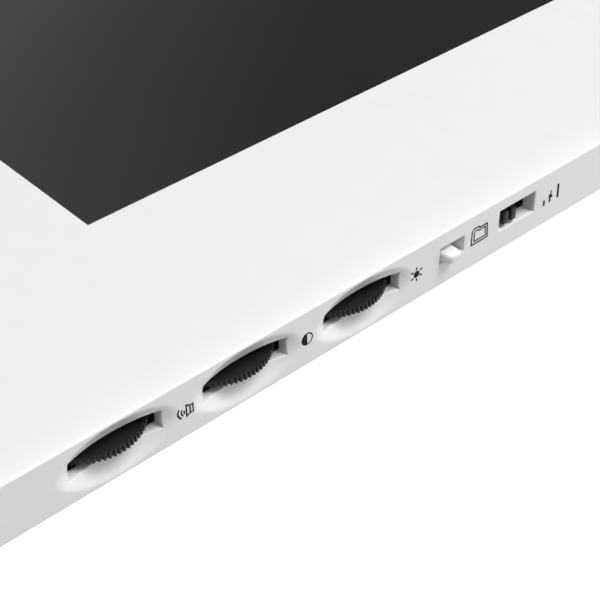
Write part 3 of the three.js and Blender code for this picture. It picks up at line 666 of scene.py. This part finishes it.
# ------------------------------------------------------------------ printed pictograms
def offset_path(p, w, closed):
    p = np.array(p, float)
    n = len(p)
    left, right = [], []
    for i in range(n):
        if closed:
            a, b = p[i] - p[i - 1], p[(i + 1) % n] - p[i]
        else:
            a = p[i] - p[i - 1] if i else p[1] - p[0]
            b = p[i + 1] - p[i] if i < n - 1 else a
        a, b = a / np.linalg.norm(a), b / np.linalg.norm(b)
        na, nb = np.array([-a[1], a[0]]), np.array([-b[1], b[0]])
        m = na + nb
        m /= np.linalg.norm(m)
        k = w / 2 / max(0.4, float(m @ na))
        left.append(p[i] + m * k)
        right.append(p[i] - m * k)
    return np.array(left), np.array(right)


def prism(sh, place, outer, hole=None):
    """Thin printed shape: place(x, z, level) gives a point, level 0 inside the wall and 1 on the surface."""
    a0, a1 = sh.ring([place(u, v, 0) for u, v in outer]), sh.ring([place(u, v, 1) for u, v in outer])
    sh.bridge(a0, a1)
    if hole is None:
        flat_fill(sh, a0, outer)
        flat_fill(sh, a1, outer)
        return
    b0, b1 = sh.ring([place(u, v, 0) for u, v in hole]), sh.ring([place(u, v, 1) for u, v in hole])
    sh.bridge(b0, b1)
    for a, b in ((a0, b0), (a1, b1)):
        n = len(a)
        for k in range(n):
            j = (k + 1) % n
            sh.f.append((a[k], a[j], b[j], b[k]))


def flat_fill(sh, ids, uv):
    pts = [Vector((float(u), float(v))) for u, v in uv]
    n = len(pts)
    co, _, tris, orig, _, _ = delaunay_2d_cdt(pts, [(k, (k + 1) % n) for k in range(n)], [], 0, 1e-6)
    c2 = np.array([[p.x, p.y] for p in co])
    t = np.array([list(x) for x in tris])
    keep = inside(c2[t].mean(axis=1), np.array([[p.x, p.y] for p in pts]))
    for tri in t[keep]:
        sh.f.append(tuple(ids[orig[i][0]] for i in tri))


def stroke(sh, place, path, w, closed=False):
    left, right = offset_path(path, w, closed)
    if closed:
        prism(sh, place, left, right)
    else:
        prism(sh, place, np.r_[left, right[::-1]])


def arc2(cx, cz, r, a0, a1, n=14, squash=1.0):
    return [(cx + squash * r * math.cos(a), cz + r * math.sin(a)) for a in np.radians(np.linspace(a0, a1, n))]


def on_side(u, v, level):
    """u along the control side from the first wheel's slot, v down from the top edge."""
    return (u - 103.0, SIDE_Y - 0.012 if level else SIDE_Y + 0.03, v + 23.0)


def side_icons():
    sh = Shell()
    # loudspeaker with sound waves
    stroke(sh, on_side, [(17.03, -3.92), (16.86, -4.25), (16.80, -4.62), (16.86, -4.98), (17.05, -5.32), (17.34, -5.62)], 0.26)
    stroke(sh, on_side, [(17.50, -4.22), (17.38, -4.48), (17.36, -4.78), (17.46, -5.06), (17.64, -5.34)], 0.24)
    stroke(sh, on_side, [(17.84, -4.50), (17.78, -4.78), (17.92, -5.08)], 0.25)
    stroke(sh, on_side, [(18.19, -3.80), (18.19, -5.66), (18.78, -5.40), (18.78, -4.12)], 0.24, True)
    stroke(sh, on_side, [(18.87, -4.12), (19.26, -4.12), (19.26, -5.44), (18.87, -5.44)], 0.22)
    # contrast: a ring, one half of it full
    cx, cz, r = 38.86, -4.55, 1.03
    stroke(sh, on_side, arc2(cx, cz, r - 0.105, -88, 88, 22), 0.21)
    prism(sh, on_side, arc2(cx, cz, r, 90, 270, 26))
    # brightness: a small sun
    cx, cz = 59.66, -4.42
    prism(sh, on_side, arc2(cx, cz, 0.58, 0, 352, 30))
    for a in (92, 147, 31, 212, 331, 272):
        c, s = math.cos(math.radians(a)), math.sin(math.radians(a))
        stroke(sh, on_side, [(cx + 0.74 * c, cz + 0.74 * s), (cx + 1.24 * c, cz + 1.24 * s)], 0.29)
    # folder
    stroke(sh, on_side, [(70.97, -2.80), (71.32, -2.30), (72.28, -2.28), (72.72, -2.58), (74.12, -2.50), (74.36, -5.02), (70.97, -5.08)], 0.27, True)
    stroke(sh, on_side, [(71.48, -3.10), (71.74, -2.82), (72.16, -2.80), (72.58, -3.02), (73.74, -2.92), (73.92, -4.56), (71.48, -4.60)], 0.24, True)
    # ringing level: short bar, note, tall bar
    stroke(sh, on_side, [(86.93, -4.62), (87.02, -5.60)], 0.43)
    stroke(sh, on_side, [(88.42, -3.38), (88.40, -4.12)], 0.25)
    prism(sh, on_side, [(88.41 + 1.22 * (u - 88.41), -4.70 + 1.08 * (v + 4.70)) for u, v in [(88.32, -4.06), (88.50, -4.02), (88.60, -4.34), (88.86, -4.56), (88.62, -4.80), (88.44, -4.76), (88.50, -5.28), (88.30, -5.48), (88.10, -5.30), (88.20, -4.96), (88.08, -4.56), (88.06, -4.14)]])
    stroke(sh, on_side, [(90.02, -2.92), (90.14, -5.52)], 0.45)
    return build("control_pictograms", sh, "print_ink", "monitor", (), sharp=30)


side_icons()


def on_key(y0, lift):
    def place(u, v, level):
        return (KEY["x"] + u, y0 + v, KEY["top"] - 0.028 + (lift if level else -0.05))
    return place


def key_icon(name, body, y, draw):
    sh = Shell()
    draw(sh, on_key(y, 0.012))
    return build(name, sh, "print_ink", body, (), sharp=30)


def draw_unlock(sh, place):
    stroke(sh, place, [(-2.6, -2.6), (2.6, -2.6), (2.6, 0.9), (-2.6, 0.9)], 0.45, True)
    stroke(sh, place, [(-1.7, 1.2), (-1.7, 2.0)] + arc2(-0.1, 2.1, 1.6, 176, 20, 12), 0.45)
    prism(sh, place, arc2(0, -0.8, 0.55, 0, 345, 20))


def draw_talk(sh, place):
    pts = [(-3.0, 1.9), (-2.2, 2.6), (-1.2, 1.7), (-1.5, 0.9), (-1.0, -0.2), (-0.1, -1.1), (1.0, -1.6), (1.8, -1.3), (2.7, -2.2), (2.0, -3.0), (0.7, -3.0), (-1.2, -2.0), (-2.4, -0.6), (-3.1, 0.9)]
    prism(sh, place, [(u, v + 0.3) for u, v in pts])
    stroke(sh, place, arc2(-0.4, 0.6, 2.2, 12, 74, 10), 0.4)
    stroke(sh, place, arc2(-0.4, 0.6, 3.3, 12, 74, 12), 0.4)


def draw_monitor(sh, place):
    stroke(sh, place, [(-3.4, 0.0)] + [(3.4 * math.cos(math.radians(a)), 1.9 * math.sin(math.radians(a))) for a in range(165, 10, -15)]
           + [(3.4, 0.0)] + [(3.4 * math.cos(math.radians(a)), 1.9 * math.sin(math.radians(a))) for a in range(-15, -170, -15)], 0.4, True)
    prism(sh, place, arc2(0, 0, 1.0, 0, 348, 28))


key_icon("unlock_pictogram", "unlock_button", KEY["ys"][0], draw_unlock)
key_icon("talk_pictogram", "talk_button", KEY["ys"][1], draw_talk)
key_icon("monitor_pictogram", "monitor_button", KEY["ys"][2], draw_monitor)


# ------------------------------------------------------------------ screws
def make_screw(name, node, x, y, z, length, up, head=2.5, shank=1.1):
    sh = Shell()
    n = 36

    def at(r, h):
        return circle(x, y, r, z + up * h, n)
    prof = [(head * 0.66, -1.5), (head * 0.80, -1.46), (head * 0.92, -1.28), (head * 0.99, -0.98), (head, -0.75), (head, -0.1), (head - 0.1, 0.0), (shank + 0.02, 0.0)]
    h = 0.35
    while h < length - 0.9:
        prof += [(shank - 0.18, h), (shank - 0.18, h + 0.10), (shank, h + 0.26), (shank, h + 0.32)]
        h += 0.55
    prof += [(shank - 0.2, length - 0.7), (0.35, length)]
    q = sh.chain([at(r, hh) for r, hh in prof])
    sh.fan(q[-1])
    # cross recess
    a, b = head * 0.50, head * 0.15
    cross = [(a, -b), (a, b), (b, b), (b, a), (-b, a), (-b, b), (-a, b), (-a, -b), (-b, -b), (-b, -a), (b, -a), (b, -b)]
    top = sh.ring([(x + u, y + v, z - up * 1.5) for u, v in cross])
    low = sh.ring([(x + u * 0.72, y + v * 0.8, z - up * 0.75) for u, v in cross])
    sh.bridge(top, low)
    sh.fan(low)
    sh.fill(q[0], [top])
    return build(name, sh, "screw_steel", "monitor", (node,), sharp=34)


for k, (x, y) in enumerate(HOUSING_SCREWS):
    make_screw(f"housing_screw_{k + 1}_detail", f"housing_screw_{k + 1}", x, y, RIM_Z - 0.1, 6.5, 1)
for k, (x, y) in enumerate(LCD_SCREWS):
    make_screw(f"lcd_screw_{k + 1}_detail", f"lcd_screw_{k + 1}", x, y, 16.3, 4.4, 1)
for k, (x, y) in enumerate(BOARD_SCREWS):
    make_screw(f"board_screw_{k + 1}_detail", f"board_screw_{k + 1}", x, y, 9.7, 6.0, -1)
for k, (x, y) in enumerate(CTRL_SCREWS):
    make_screw(f"control_board_screw_{k + 1}_detail", f"control_board_screw_{k + 1}", x, y, 15.8, 4.8, 1, 2.2)
for k, (x, y) in enumerate(KEY_SCREWS):
    make_screw(f"key_board_screw_{k + 1}_detail", f"key_board_screw_{k + 1}", x, y, 15.8, 4.8, 1, 2.2)

# ------------------------------------------------------------------ round parts
for nm, cx in (("capacitor_1", -60), ("capacitor_2", -48)):
    t = 9.7
    turned(nm + "_detail", cx, 20, [(0, t), (3.7, t), (4, t + 0.15), (4, t + 0.9), (3.85, t + 1.05), (3.85, t + 1.25), (4, t + 1.4), (4, t + 4.0), (3.7, t + 4.3), (3.4, t + 4.4), (3.1, t + 4.3), (0, t + 4.3)],
           "aluminium_can", replaces=(nm,))
turned("led_light_pipe_detail", KEY["x"], LED_Y, [(0, 18.5), (2.3, 18.5), (2.4, 18.6), (2.4, 20.8), (2.3, 20.9), (1.5, 20.9), (1.5, 23.35), (1.42, 23.52), (1.22, 23.62), (0.8, 23.68), (0, 23.7)], "light_pipe", replaces=("led_light_pipe",))
turned("microphone_boot_detail", KEY["x"], MIC_Y, [(0, 15.9), (4.4, 15.9), (4.6, 16.1), (4.6, 20.7), (4.4, 20.9), (3.4, 20.9), (3.3, 20.8), (3.3, 17.0), (0, 17.0)], "foam", replaces=("microphone_boot",))
turned("microphone_detail", KEY["x"], MIC_Y, [(0, 17.2), (2.8, 17.2), (3.0, 17.4), (3.0, 20.6), (2.8, 20.8), (2.3, 20.8), (2.2, 20.7), (0, 20.7)], "aluminium_can", replaces=("microphone",))
sx, sy = SPK["x"], SPK["y"]
turned("speaker_gasket_detail", sx, sy, [(15.1, 20.5), (17.8, 20.5), (17.9, 20.6), (17.9, 20.9), (17.8, 21.0), (15.1, 21.0), (15.0, 20.9), (15.0, 20.6), (15.1, 20.5)], "foam", n=72, replaces=("speaker_gasket",))
turned("speaker_basket_detail", sx, sy, [(14.9, 20.3), (14.9, 19.7), (14.6, 19.55), (14.2, 19.4), (11.8, 16.7), (11.4, 16.4), (5, 16.4), (5, 15.6), (11.9, 15.6), (12.3, 15.75), (15.0, 18.75), (15.4, 18.95), (17.8, 19.45), (17.9, 19.55), (17.9, 20.2), (17.8, 20.3), (14.9, 20.3)],
       "steel_sheet", n=72, replaces=("speaker_basket",))
turned("speaker_magnet_detail", sx, sy, [(0, 9.5), (10.4, 9.5), (10.9, 9.8), (11, 10.0), (11, 14.9), (10.7, 15.3), (0, 15.3)], "magnet", n=72, replaces=("speaker_magnet",))
cone = [(0, 18.3)]
cone += [(r, 18.3 - 0.9 * (r / 3.6) ** 2) for r in (0.8, 1.6, 2.4, 3.0, 3.5)] + [(3.7, 17.38), (5.0, 17.2)]
for k in range(1, 9):
    r = 5.0 + 8.9 * k / 8
    cone.append((r, 17.2 + 2.8 * (k / 8) ** 0.92 + (0.05 if k % 2 else 0)))
cone += [(13.9, 20.05), (13.6, 20.3)]
for k in range(7, 0, -1):
    r = 5.0 + 8.6 * k / 8
    cone.append((r, 17.7 + 2.6 * (k / 8) ** 0.92 + (0.05 if k % 2 else 0)))
cone += [(5.0, 17.7), (3.7, 17.88)] + [(r, 18.8 - 0.9 * (r / 3.6) ** 2) for r in (3.5, 3.0, 2.4, 1.6, 0.8)] + [(0, 18.8)]
turned("speaker_cone_detail", sx, sy, cone, "paper_cone", n=72, replaces=("speaker_cone",))

# ------------------------------------------------------------------ boxes, boards and plates
refined("rear_cover", "rear_shell", width=0.35, segs=3)
refined("wall_bracket", "steel_sheet", width=0.22, segs=2)
refined("lens_gasket", "foam", width=0.08)
refined("lcd_frame", "steel_sheet", width=0.15)
refined("lcd_panel", "display", width=0.2)
refined("main_board", "circuit_board", width=0.12)
refined("control_board", "black_board", width=0.12)
refined("key_board", "circuit_board", width=0.12)
refined("video_chip", "chip_resin", width=0.18)
refined("audio_chip", "chip_resin", width=0.18)
refined("line_terminal_block", "terminal", width=0.2)
refined("power_terminal_block", "terminal", width=0.2)
for nm in ("volume", "contrast", "brightness"):
    refined(nm + "_pot", "black_resin", width=0.25)
refined("side_button_switch", "black_resin", width=0.2)
refined("slide_switch_body", "black_resin", width=0.2)
refined("key_pad", "silicone", width=0.2)
refined("status_led", "led", width=0.2)
for nm in ("lcd_ribbon", "control_ribbon", "key_ribbon"):
    refined(nm, "ribbon", width=0.05, segs=1)

# ------------------------------------------------------------------ floor, light, camera
fl = bpy.data.meshes.new("floor")
R = 6.0
FZ = -0.0002
fl.from_pydata([(-R, -R, FZ), (R, -R, FZ), (R, R, FZ), (-R, R, FZ)], [], [(0, 1, 2, 3)])
floor = bpy.data.objects.new("floor", fl)
bpy.context.scene.collection.objects.link(floor)
fl.materials.append(MAT["floor"])
fb = MAT["floor"].node_tree.nodes["Principled BSDF"]
fb.inputs["Emission Color"].default_value = (1, 1, 1, 1)
fb.inputs["Emission Strength"].default_value = 0.80
floor.visible_diffuse = False


def area(name, direction, dist, size, strength, target=(0, -0.03, 0.02)):
    """strength is the light's share of a white surface's brightness when it faces the light."""
    d = Vector(direction).normalized()
    light = bpy.data.lights.new(name, "AREA")
    light.shape = "DISK"
    light.size = size
    light.energy = strength * math.pi ** 2 * dist ** 2
    ob = bpy.data.objects.new(name, light)
    bpy.context.scene.collection.objects.link(ob)
    ob.location = Vector(target) + d * dist
    ob.rotation_mode = "QUATERNION"
    ob.rotation_quaternion = (-d).to_track_quat("-Z", "Y")
    return ob


area("key_light", (0.30, -0.40, 0.865), 1.5, 0.90, 0.77)
area("side_light", (0.90, -0.42, 0.12), 0.55, 0.20, 0.12, (-0.02, -0.0825, 0.02))

WORLD_LOW, WORLD_UP, PANEL_LOW, PANEL_HIGH = 0.19, 0.47, 0.19, 1.0
world = bpy.data.worlds.new("studio")
bpy.context.scene.world = world
world.use_nodes = True
nt = world.node_tree
nt.nodes.clear()
wo = nt.nodes.new("ShaderNodeOutputWorld")
bg = nt.nodes.new("ShaderNodeBackground")
nt.links.new(bg.outputs[0], wo.inputs["Surface"])
bg.inputs["Strength"].default_value = 1.0
# pale studio: even above, slightly dimmer below the horizon, one dim patch low behind on the right
wt = nt.nodes.new("ShaderNodeTexCoord")
sep = nt.nodes.new("ShaderNodeSeparateXYZ")
nt.links.new(wt.outputs["Generated"], sep.inputs[0])
lift = nt.nodes.new("ShaderNodeMapRange")
lift.interpolation_type = "SMOOTHSTEP"
for k, v in (("From Min", -0.25), ("From Max", 0.25), ("To Min", WORLD_LOW), ("To Max", WORLD_UP)):
    lift.inputs[k].default_value = v
nt.links.new(sep.outputs["Z"], lift.inputs["Value"])
dot = nt.nodes.new("ShaderNodeVectorMath")
dot.operation = "DOT_PRODUCT"
dot.inputs[1].default_value = (0.67, 0.55, 0.50)
nt.links.new(wt.outputs["Generated"], dot.inputs[0])
panel = nt.nodes.new("ShaderNodeMapRange")
panel.interpolation_type = "LINEAR"
for k, v in (("From Min", 0.935), ("From Max", 0.995), ("To Min", PANEL_HIGH), ("To Max", PANEL_LOW)):
    panel.inputs[k].default_value = v
nt.links.new(dot.outputs["Value"], panel.inputs["Value"])
mul = nt.nodes.new("ShaderNodeMath")
mul.operation = "MULTIPLY"
nt.links.new(lift.outputs["Result"], mul.inputs[0])
nt.links.new(panel.outputs["Result"], mul.inputs[1])
# a little brighter from the right than from the left
slant = nt.nodes.new("ShaderNodeMapRange")
for k, v in (("From Min", -1.0), ("From Max", 1.0), ("To Min", 0.35), ("To Max", 1.65)):
    slant.inputs[k].default_value = v
nt.links.new(sep.outputs["X"], slant.inputs["Value"])
mul2 = nt.nodes.new("ShaderNodeMath")
mul2.operation = "MULTIPLY"
nt.links.new(mul.outputs[0], mul2.inputs[0])
nt.links.new(slant.outputs["Result"], mul2.inputs[1])
# the pale floor below
deep = nt.nodes.new("ShaderNodeMapRange")
for k, v in (("From Min", -1.0), ("From Max", -0.3), ("To Min", 3.6), ("To Max", 1.0)):
    deep.inputs[k].default_value = v
nt.links.new(sep.outputs["Z"], deep.inputs["Value"])
mul3 = nt.nodes.new("ShaderNodeMath")
mul3.operation = "MULTIPLY"
nt.links.new(mul2.outputs[0], mul3.inputs[0])
nt.links.new(deep.outputs["Result"], mul3.inputs[1])
nt.links.new(mul3.outputs[0], bg.inputs["Strength"])
bg.inputs["Color"].default_value = (1, 1, 1, 1)

cam = bpy.data.cameras.new("camera")
camera = bpy.data.objects.new("camera", cam)
bpy.context.scene.collection.objects.link(camera)
right, up, fwd = Vector((0.74395, -0.66823, -0.00421)), Vector((0.42041, 0.46313, 0.78023)), Vector((0.51943, 0.58222, -0.62548))
m = Matrix.Identity(4)
for r in range(3):
    m[r][0], m[r][1], m[r][2] = right[r], up[r], -fwd[r]
m.translation = Vector((-0.167479, -0.19692, 0.148725))
camera.matrix_world = m
cam.lens = 90.37
cam.sensor_width = 36.0
cam.sensor_fit = "AUTO"
cam.clip_start, cam.clip_end = 0.01, 50.0
cam.dof.use_dof = False
bpy.context.scene.camera = camera
bpy.context.scene.view_settings.view_transform = "Standard"
bpy.context.scene.view_settings.look = "None"

bpy.context.view_layer.update()
